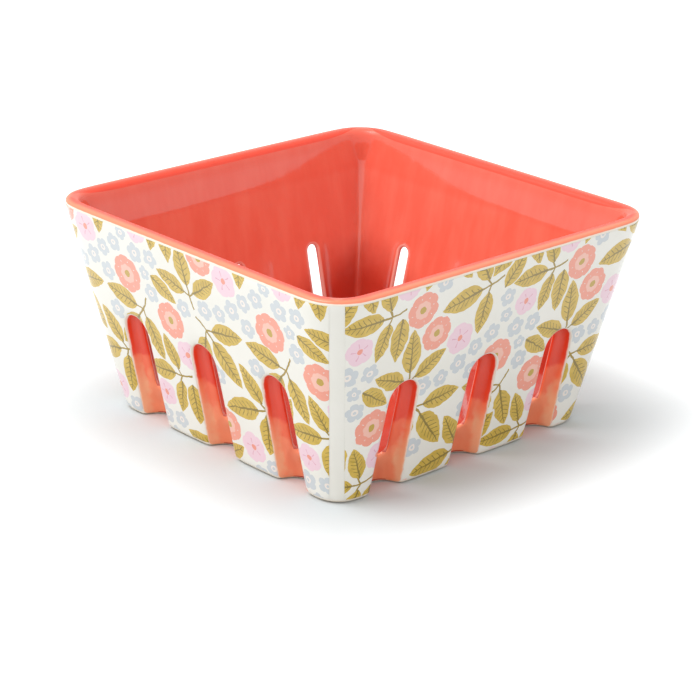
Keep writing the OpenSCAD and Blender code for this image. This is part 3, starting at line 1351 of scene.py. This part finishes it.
    def slot_colour(self, web: NodeWeb, place: Wire, rag: Wire, fleck: Wire, streaks: Wire) -> Wire:
        """Works out the glaze of the slots, red above, and salmon and cream towards the foot.

        Args:
            web: The material's nodes.
            place: The place on the bowl.
            rag: What makes a border between two tones ragged.
            fleck: The same, but finer.
            streaks: The streaks that run down the wall.
        """
        z = place.parts()[2]
        low = 1.0 - (z + rag * 12.0 + fleck * 1.5).rise(*self.low_line)
        lower = 1.0 - (z + rag * 20.0 - fleck * 2.0).rise(*self.lower_line)
        glaze = web.tint(low * 0.8, "F04A2E", "FF7E56")
        glaze = web.tint(lower * 0.7, glaze, "FFA074")
        side = (beside_slot(place, self.slots) + rag * 7.0 + fleck * 1.2).rise(*self.flank)
        flank = side * (1.0 - (z + rag * 20.0).rise(*self.flank_top))
        glaze = web.tint(flank * 0.7, glaze, "FAC094")
        return web.tint(streaks.rise(0.45, 0.8) * 0.35, glaze, "DC4228")

    def colour(self, web: NodeWeb, place: Wire) -> Wire:
        """Works out the colour: the hollow's and the slots', with a painted reflection on the slits' edges
        and the pale glaze edges over them.
        """
        depth, z = self.depth(place)
        rag = web.noise(place, 0.09, 3.0) - 0.5
        fleck = web.noise(place, 0.5, 2.0) - 0.5
        streaks = web.noise(place * (1.0, 1.0, 0.16), 0.16, 3.0)
        slots = self.slot_colour(web, place, rag, fleck, streaks)
        worn = web.tint(self.inside(place), slots, self.hollow_colour(web, place, rag, streaks))
        # Painted reflection: the edges of the slits are tinted pale pink, as if they caught light from
        # outside.
        above = (z - self.slit_top) | 0.0
        from_slit = (beside_slot(place, self.slots) ** 2.0 + above ** 2.0) ** 0.5
        nearest, deepest = self.slit_depths
        slit = (1.0 - from_slit.rise(*self.slit_edge)) * (depth > nearest) * (depth < deepest)
        worn = web.tint(slit * z.rise(*self.slit_glint_low) * 0.6, worn, "FFD0C0")
        skin = self.rim_depth(place)
        worn = web.tint(z.rise(*self.rim_fade) * (1.0 - skin.rise(*self.rim_skin)) * 0.55, worn, "FFAC84")
        line = (1.0 - (depth + fleck * 0.5).rise(*self.lip_line)) * (z < self.lip_top)
        below_rim = (skin < self.line_skin) * (z > self.line_low)
        below_rim = below_rim * (1.0 - (z + fleck * 0.2).rise(*self.line_top))
        return web.tint(line | below_rim, worn, "FBEFDD")

    def surface(self, web: NodeWeb, place: Wire) -> Wire:
        """Works out the normal: shallow brushed streaks that run down the wall."""
        return web.bump(web.noise(place * (1.0, 1.0, 0.2), 0.14, 2.0), 0.16)


@dataclass(frozen=True)
class BareClay(Finish):
    """The fired clay of the wiped foot."""

    name: str = "bare_clay"
    roughness: float = 0.8

    def colour(self, web: NodeWeb, place: Wire) -> Wire:
        """Works out the colour: buff with fine dark specks."""
        buff = web.tint(web.noise(place, 0.25, 4.0).rise(0.3, 0.7), "DCCBAE", "E9DCC6")
        return web.tint(web.noise(place, 2.2, 2.0).rise(0.68, 0.74) * 0.6, buff, "9C8468")

    def surface(self, web: NodeWeb, place: Wire) -> Wire:
        """Works out the normal: a fine grit."""
        return web.bump(web.noise(place, 2.5, 3.0), 0.06)


@dataclass(frozen=True)
class BotanicalPrint(IvoryGloss):
    """The printed transfer: sprigs, round blooms and daisies, fired into the ivory glaze.

    Attributes:
        slots: The slots' sizes.
        layout: Where the motifs lie.
        leaf_bow: How far beside a leaf its round sides have their middles, as a share of its half length.
        leaf_spare: How far outside a leaf its own coordinates reach, as the same share.
        stem_reach: How far from a joint the stem's own coordinates reach, in millimetres.
        bloom_reach: How far from its middle a bloom's own coordinates reach, as a share of its radius.
        away: What stands for a place that belongs to no motif.
        code: What one step between the kinds of bloom adds to the third coordinate.
        margin: How far the print stays clear of the slots, in millimetres.
    """

    name: str = "botanical_print"
    slots: Grooves = Grooves(BowlShape())
    layout: PrintLayout = PrintLayout()
    leaf_bow: float = 0.84
    leaf_spare: float = 0.1
    stem_reach: float = 7.0
    bloom_reach: float = 1.12
    away: float = 9.0
    code: float = 0.01
    margin: float = 0.45

    def local(self, web: NodeWeb, sheet: Wire, motif: Motif) -> Wire:
        """Moves the sheet's coordinates to a motif's own centre, turn and size.

        Args:
            web: The material's nodes.
            sheet: The coordinates on the wall, in millimetres.
            motif: The motif, whose size becomes 1.
        """
        wide, high = self.layout.tile[0] / 2, self.layout.tile[1] / 2
        ends = ((motif.u + wide, motif.v + high, 1.0), (motif.u - wide, motif.v - high, -1.0))
        sockets = {
            "Vector": sheet.step("WRAP", sheet, *ends),
            "Location": (motif.u, motif.v, -self.code * motif.kind),
            "Rotation": (0.0, 0.0, math.radians(motif.turn)),
            "Scale": (motif.size, motif.size, 1.0),
        }
        return web.add("ShaderNodeMapping", {"vector_type": "TEXTURE"}, sockets)

    def own(
        self, web: NodeWeb, sheet: Wire, motifs: Sequence[Motif], reaches: Callable[[Wire], Wire],
    ) -> Wire:
        """Gives each place its coordinates about the last motif that reaches it.

        Args:
            web: The material's nodes.
            sheet: The coordinates on the wall, in millimetres.
            motifs: The motifs, in the order of drawing.
            reaches: Makes the mask of what a motif reaches, from the coordinates about it.
        """
        own = (self.away, self.away, -self.code)
        for motif in motifs:
            near = self.local(web, sheet, motif)
            own = web.mix(reaches(near), own, near)
        return own

    def leaves(self, web: NodeWeb, sheet: Wire, motifs: Sequence[Motif]) -> tuple[Wire, Wire]:
        """Draws the leaves.

        Args:
            web: The material's nodes.
            sheet: The coordinates on the wall, in millimetres.
            motifs: Where the leaves lie.

        Returns:
            The masks of the leaves and of their veins.
        """
        bow = self.leaf_bow
        radius = math.hypot(1, bow)
        reach = radius + self.leaf_spare
        x, y, _ = self.own(
            web, sheet, motifs, lambda near: (abs(near) + (0.0, bow, 0.0)).length() < reach,
        ).parts()
        side = abs(y)
        leaf = web.pair(x, side * (x * 0.28 + 1.0) + bow).length() < radius
        rib = (side < 0.035 - x * 0.02) * (x < 0.86)
        teeth = (x - side * 0.75) * 4.2
        comb = teeth.step("PINGPONG", teeth, 0.5)
        tooth = (comb > 0.415) * (side < (1.0 - x * x) * 0.32) * (x < 0.8)
        return leaf, leaf * (rib | tooth)

    def stems(self, web: NodeWeb, sheet: Wire, joints: Sequence[Motif]) -> Wire:
        """Draws the stems that join three leaves, as a mask.

        Args:
            web: The material's nodes.
            sheet: The coordinates on the wall, in millimetres.
            joints: Where the leaves of each sprig meet.
        """
        x, y, _ = self.own(web, sheet, joints, lambda near: near.length() < self.stem_reach).parts()
        back = y & 0.0
        middle = (x - back * back * 0.035).near(0.0, 0.33) * y.near(0.0, 5.2)
        folded, turn = web.pair(abs(x), y), math.radians(28)
        along = folded.dot((math.cos(turn), math.sin(turn), 0.0))
        across = folded.dot((-math.sin(turn), math.cos(turn), 0.0))
        return middle | (across - along * along * 0.02).near(0.0, 0.3) * along.near(2.2, 2.4)

    def blooms(self, web: NodeWeb, sheet: Wire, motifs: Sequence[Motif], ground: Wire) -> Wire:
        """Draws the blooms over a ground.

        Args:
            web: The material's nodes.
            sheet: The coordinates on the wall, in millimetres.
            motifs: Where the blooms lie.
            ground: The colour under them.

        Returns:
            The colour with the blooms.
        """
        own = self.own(web, sheet, motifs, lambda near: near.length() < self.bloom_reach)
        x, y, code = own.parts()
        kind = code / self.code
        is_daisy, is_pink, is_coral = (kind.near(bloom, 0.5) for bloom in Bloom)
        out, angle = own.length(), x.step("ARCTAN2", y, x)
        five, eight = angle.petals(5), angle.petals(8)
        edge = web.mix(is_pink, five ** 0.6 * 0.32 + 0.68, five ** 0.5 * 0.14 + 0.86)
        petal = out < web.mix(is_coral, edge, eight ** 0.5 * 0.1 + 0.9)
        blush = web.tint(is_pink, "CFD6DA", "F4D3DF")
        colour = web.tint(petal, ground, web.tint(is_coral, blush, "F6A08A"))
        ring = (is_daisy * out.near(0.24, 0.09)) | (is_coral * out.near(0.68, 0.045) * (eight < 0.1))
        colour = web.tint(ring, colour, "F7EDE4")
        colour = web.tint(is_coral * (out < eight * 0.05 + 0.46), colour, "FAC2B0")
        colour = web.tint(is_pink * out.near(0.44, 0.18) * (five > 0.985), colour, "E5ADC0")
        colour = web.tint(is_pink * (out < 0.2), colour, "F39A86")
        return web.tint(is_coral * (out < 0.2), colour, "C3A23A")

    def colour(self, web: NodeWeb, place: Wire) -> Wire:
        """Works out the colour: the print, kept clear of the slots, on the ivory glaze."""
        ivory = super().colour(web, place)
        leaves, joints, blooms = self.layout.build()
        flat = web.add("ShaderNodeUVMap", {"uv_map": "wall"}, {}) * (1 / MM)
        shake = web.noise(flat, 0.42, 1.5, "Color") - 0.5
        sheet = flat + shake * (0.9, 0.9, 0.0)
        colour = self.blooms(web, sheet, blooms, ivory)
        colour = web.tint(self.stems(web, sheet, joints), colour, "A3882C")
        leaf, vein = self.leaves(web, sheet, leaves)
        cloud = web.noise(flat, 0.35, 2.0)
        colour = web.tint(leaf, colour, web.tint(cloud.rise(0.3, 0.7), "CBAA38", "DAB949"))
        colour = web.tint(vein, colour, "8A7522")
        spring = self.slots.spring_z / MM
        above = ((place.parts()[2] - spring) / math.cos(self.slots.bowl.lean)) | 0.0
        gap = web.pair(beside_slot(place, self.slots), above).length() - self.slots.radius / MM
        return web.tint(gap > self.margin, ivory, colour)


@dataclass
class PrintedWall:
    """The four printed films, one to a wall.

    Attributes:
        shape: The bowl's sizes.
        slots: The slots' sizes.
        strip: How far from the middle the planes lie that part a film from the plain corner strips.
        low_z: Height of a film's lower edge.
        high_z: Height of its upper edge.
        lift: How far above the fired skin it lies.
        film: Its thickness.
        clear: How far it stays from the slots.
        facing: The least share of a face's normal that points out of the wall.
        shift: How far the map moves on from one wall to the next.
    """

    shape: BowlShape
    slots: Grooves
    strip: float = 3.11 * MM
    low_z: float = 1.4 * MM
    high_z: float = 67.45 * MM
    lift: float = 0.05 * MM
    film: float = 0.04 * MM
    clear: float = 0.3 * MM
    facing: float = 0.2
    shift: tuple[float, float] = (31.7 * MM, 17.3 * MM)

    def build(self, skin: bpy.types.Object, name: str, wall: int) -> bpy.types.Object:
        """Makes the film of one wall.

        Args:
            skin: The whole fired skin.
            name: The new piece's name.
            wall: The wall's number, counted from the front one towards the right one.
        """
        piece = copy_piece(skin, name)
        turn = wall * QUARTER
        out = Vector((math.sin(turn), -math.cos(turn), 0))
        across = Vector((math.cos(turn), math.sin(turn), 0))
        with edit_mode(piece):
            pick(piece, "faces", lambda face: self.off(face, out))
            bpy.ops.mesh.delete(type="FACE")
            for side in (-1, 1):
                bpy.ops.mesh.select_all(action="SELECT")
                normal = (out * -1 + across * side).normalized()
                start = out * self.strip
                bpy.ops.mesh.bisect(plane_co=start, plane_no=normal, clear_outer=True)
            for height, up in ((self.low_z, -1), (self.high_z, 1)):
                bpy.ops.mesh.select_all(action="SELECT")
                bpy.ops.mesh.bisect(plane_co=(0, 0, height), plane_no=(0, 0, up), clear_outer=True)
            bpy.ops.mesh.select_all(action="SELECT")
            bpy.ops.transform.shrink_fatten(value=self.lift)
        self.unroll(piece, out, across, wall)
        apply_modifier(piece, "SOLIDIFY", thickness=self.film, offset=1)
        sharpen(piece)
        return piece

    def off(self, face: bmesh.types.BMFace, out: Vector) -> bool:
        """Says whether a face of the skin is no part of a wall's film."""
        centre = face.calc_center_median()
        if face.material_index != Zone.OUTSIDE or face.normal.dot(out) < self.facing:
            return True
        along = Vector((-out.y, out.x, 0)).dot(centre)
        return self.slots.distance(along, centre.z) < self.clear

    def unroll(self, piece: bpy.types.Object, out: Vector, across: Vector, wall: int) -> None:
        """Gives a film its map: the length round the wall and up its slope, in metres."""
        layer = piece.data.uv_layers.new(name="wall")
        shape = self.shape
        for loop in piece.data.loops:
            point = piece.data.vertices[loop.vertex_index].co
            along, reach = point.dot(across), point.dot(out)
            corner = shape.outer_corner(point.z)
            flat = shape.outer_half(point.z) - corner
            if abs(along) > flat:
                angle = math.atan2(abs(along) - flat, reach - flat)
                along = math.copysign(flat + corner * angle, along)
            up = point.z / math.cos(shape.lean)
            layer.data[loop.index].uv = (along + self.shift[0] * wall, up + self.shift[1] * wall)


@dataclass
class Ceramic:
    """The clay and its two glazes, parted from the fired skin."""

    shape: BowlShape

    def part(self, skin: bpy.types.Object, name: str, zones: Sequence[Zone]) -> bpy.types.Object:
        """Copies the faces of some zones out of the skin.

        Args:
            skin: The whole fired skin.
            name: The new piece's name.
            zones: The zones that it keeps.
        """
        piece = copy_piece(skin, name)
        with edit_mode(piece):
            pick(piece, "faces", lambda face: face.material_index not in zones)
            bpy.ops.mesh.delete(type="FACE")
        return piece

    def coat(self, skin: bpy.types.Object, name: str, zones: Sequence[Zone]) -> bpy.types.Object:
        """Makes one glaze coat: the faces of some zones, with their thickness inwards."""
        piece = self.part(skin, name, zones)
        apply_modifier(piece, "SOLIDIFY", thickness=self.shape.coat, offset=-1)
        sharpen(piece)
        return piece

    def clay(self, skin: bpy.types.Object) -> bpy.types.Object:
        """Makes the clay: the whole closed skin, sunk under the glazes where it has them."""
        piece = copy_piece(skin, "stoneware_clay")
        with edit_mode(piece):
            pick(piece, "faces", lambda face: face.material_index != Zone.CLAY)
            sink = -(self.shape.coat + self.shape.clay_gap)
            bpy.ops.transform.shrink_fatten(value=sink)
        return piece


def dress(piece: bpy.types.Object, material: bpy.types.Material, node: str) -> None:
    """Gives a finished piece its material and its body, and hides the CAD node that it stands for."""
    piece.data.materials.clear()
    piece.data.materials.append(material)
    make_active(piece)
    bpy.ops.object.shade_smooth()
    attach(piece, "root")
    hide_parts(node)
    LOG.info("%s: %d faces", piece.name, len(piece.data.polygons))


@dataclass(frozen=True)
class Studio:
    """The camera, the floor, the lamp and the surroundings.

    Attributes:
        azimuth: The camera's angle round the bowl, in degrees from the front wall to the right one.
        elevation: Its angle above the floor, in degrees.
        distance: How far it stands from its target, in metres.
        target: The place that it and the lamp point at.
        roll: How far it is turned about its own line of sight, in degrees.
        lens: Its focal length, in millimetres.
        sensor: The width of its sensor, in millimetres.
        clip: The nearest distance that it sees.
        sky: How bright the surroundings are as a light.
        floor_size: The width of the floor, in metres.
        floor_grey: The floor's colour as a light.
        floor_white: The floor's colour to the eye.
        floor_lift: What is added to that colour away from the bowl.
        floor_far: How far from the middle that starts and is whole, in millimetres.
        key_place: Where the lamp stands.
        key_size: The width of its square.
        key_power: Its power, in watts.
    """

    azimuth: float = 47.23
    elevation: float = 21.15
    distance: float = 0.7328
    target: tuple[float, float, float] = (0.00046, 0.0, 0.0209)
    roll: float = 1.016
    lens: float = 119.7
    sensor: float = 36.0
    clip: float = 0.01
    sky: float = 0.95
    floor_size: float = 6.0
    floor_grey: float = 0.55
    floor_white: tuple[float, float, float] = (0.6, 0.625, 0.635)
    floor_lift: float = 0.7
    floor_far: tuple[float, float] = (55.0, 122.0)
    key_place: tuple[float, float, float] = (-0.3, -0.7, 1.2)
    key_size: float = 0.8
    key_power: float = 12.5

    def camera(self) -> None:
        """Adds the camera at the photograph's angle."""
        azimuth, elevation = math.radians(self.azimuth), math.radians(self.elevation)
        back = Vector((
            math.sin(azimuth) * math.cos(elevation),
            -math.cos(azimuth) * math.cos(elevation),
            math.sin(elevation),
        ))
        right = (-back).cross(Vector((0, 0, 1))).normalized()
        up = right.cross(-back)
        roll = math.radians(self.roll)
        turned_right = right * math.cos(roll) + up * math.sin(roll)
        turned_up = up * math.cos(roll) - right * math.sin(roll)
        frame = Matrix((turned_right, turned_up, back)).transposed().to_4x4()
        bpy.ops.object.camera_add()
        camera = bpy.context.active_object
        camera.matrix_world = Matrix.Translation(Vector(self.target) + back * self.distance) @ frame
        camera.data.sensor_width = self.sensor
        camera.data.lens = self.lens
        camera.data.clip_start = self.clip
        bpy.context.scene.camera = camera

    def lamp(self) -> None:
        """Adds the square soft lamp, which faces the bowl."""
        bpy.ops.object.light_add(type="AREA", location=self.key_place)
        lamp = bpy.context.active_object
        lamp.name = "key"
        lamp.data.size = self.key_size
        lamp.data.energy = self.key_power
        aim = Vector(self.target) - Vector(self.key_place)
        lamp.rotation_euler = aim.to_track_quat("-Z", "Y").to_euler()

    def seen(self, web: NodeWeb) -> Wire:
        """Makes the mask of the rays that the eye follows, straight or by a gloss."""
        path = web.add("ShaderNodeLightPath", {}, {}, "Is Camera Ray")
        outputs = path.socket.node.outputs
        return path | Wire(web, outputs["Is Glossy Ray"]) | Wire(web, outputs["Is Transmission Ray"])

    def floor(self) -> None:
        """Adds the plain white floor, which stays white to the eye where the lamp doesn't reach."""
        bpy.ops.mesh.primitive_plane_add(size=self.floor_size, location=(0, 0, 0))
        floor = bpy.context.active_object
        floor.name = "floor"
        material = bpy.data.materials.new("floor")
        web = NodeWeb(material)
        x, y, _ = web.place().parts()
        far = ((abs(x) ** 4.0 + abs(y) ** 4.0) ** 0.25).rise(*self.floor_far)
        lift = web.add("ShaderNodeEmission", {}, {"Color": web.mix(far, 0.0, self.floor_lift)})
        bright = web.add("ShaderNodeBsdfDiffuse", {}, {"Color": self.floor_white})
        plain = web.add("ShaderNodeBsdfDiffuse", {}, {"Color": (self.floor_grey,) * 3})
        lifted = web.add("ShaderNodeAddShader", {}, {0: bright, 1: lift})
        mixed = web.add("ShaderNodeMixShader", {}, {0: self.seen(web), 1: plain, 2: lifted})
        web.feed(web.tree.nodes["Material Output"].inputs["Surface"], mixed)
        floor.data.materials.append(material)

    def world(self) -> None:
        """Sets the surroundings: white to the eye and dimmer as a light."""
        world = bpy.data.worlds.new("studio")
        web = NodeWeb(world)
        ground = web.tree.nodes["Background"].inputs
        ground["Color"].default_value = (1, 1, 1, 1)
        web.feed(ground["Strength"], web.mix(self.seen(web), self.sky, 1.0))
        bpy.context.scene.world = world

    def build(self) -> None:
        """Sets up the whole studio."""
        bpy.context.scene.view_settings.view_transform = "Standard"
        self.camera()
        self.floor()
        self.world()
        self.lamp()


def main() -> None:
    """Loads the frame and builds the studio and the bowl."""
    logging.basicConfig(level=logging.INFO, format="%(name)s: %(message)s")
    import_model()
    Studio().build()
    shape = BowlShape()
    slots = Grooves(shape)
    skin = FiredCage(shape, slots).build()
    ceramic = Ceramic(shape)
    clay = ceramic.clay(skin)
    coral = ceramic.coat(skin, "coral_coat", (Zone.CORAL,))
    ivory = ceramic.coat(skin, "ivory_coat", (Zone.OUTSIDE, Zone.RECESS))
    dress(clay, BareClay().material(), "stoneware_body")
    dress(coral, CoralGloss().material(), "coral_glaze")
    dress(ivory, IvoryGloss().material(), "ivory_glaze")
    printed, films = BotanicalPrint().material(), PrintedWall(shape, slots)
    for wall, side in enumerate(("front", "right", "back", "left")):
        film = films.build(skin, f"{side}_film", wall)
        dress(film, printed, f"{side}_print")
    bpy.data.objects.remove(skin)


if __name__ == "__main__":
    main()
